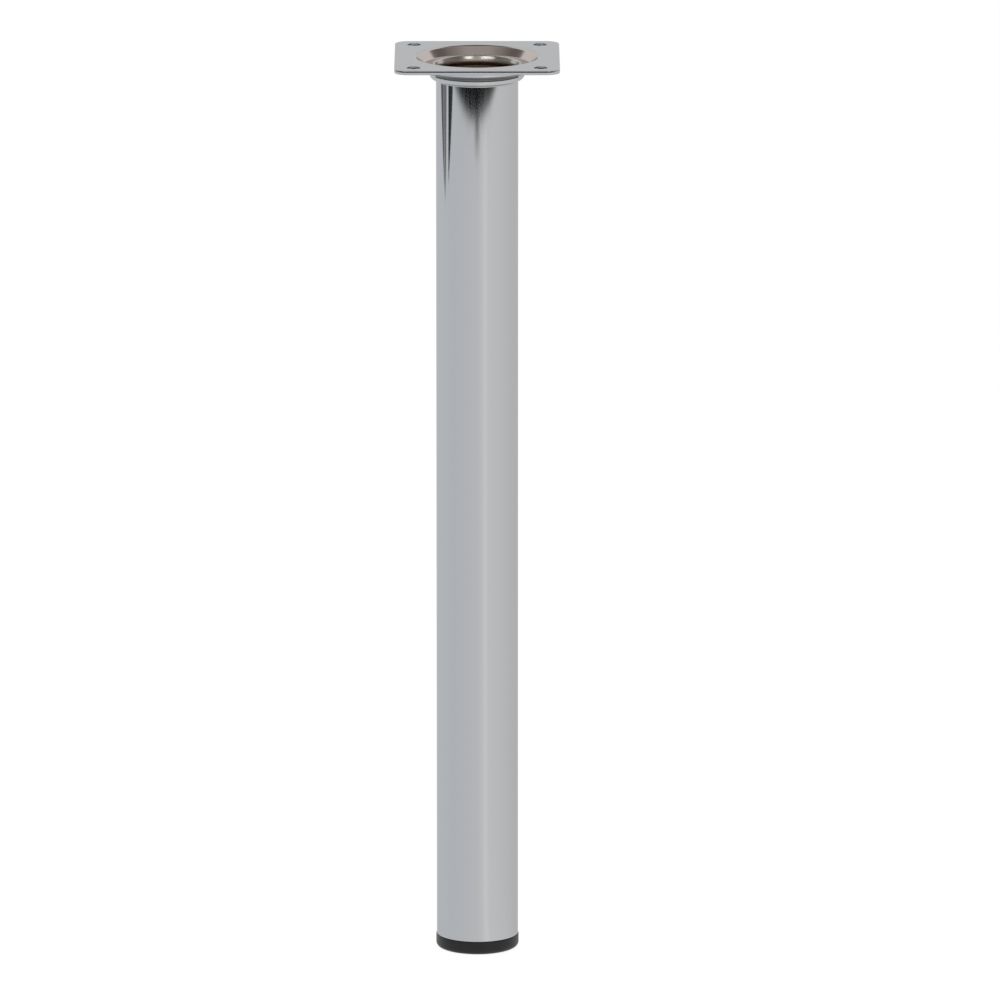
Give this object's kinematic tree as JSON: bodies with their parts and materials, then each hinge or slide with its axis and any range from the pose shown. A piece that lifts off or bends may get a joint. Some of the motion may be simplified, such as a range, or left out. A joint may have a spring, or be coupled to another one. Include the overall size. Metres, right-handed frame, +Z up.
{
  "type": "furniture leg",
  "caption": "Round chromed tubular furniture leg with a square screw-on top plate and a black plastic foot.",
  "frame": {"origin": "centre of the foot's underside, on the floor", "axes": "+Z up along the tube towards the mounting plate, X and Y along the plate's edges"},
  "size_m": [0.06, 0.06, 0.334],
  "materials": {
    "plate_chrome": "bright chrome plate on pressed steel",
    "tube_chrome": "bright chrome plate on drawn steel tube",
    "foot_plastic": "black moulded plastic, satin"
  },
  "bodies": {
    "root": {"mount_plate": "plate_chrome", "leg_tube": "tube_chrome", "foot_plug": "foot_plastic"}
  },
  "joints": []
}
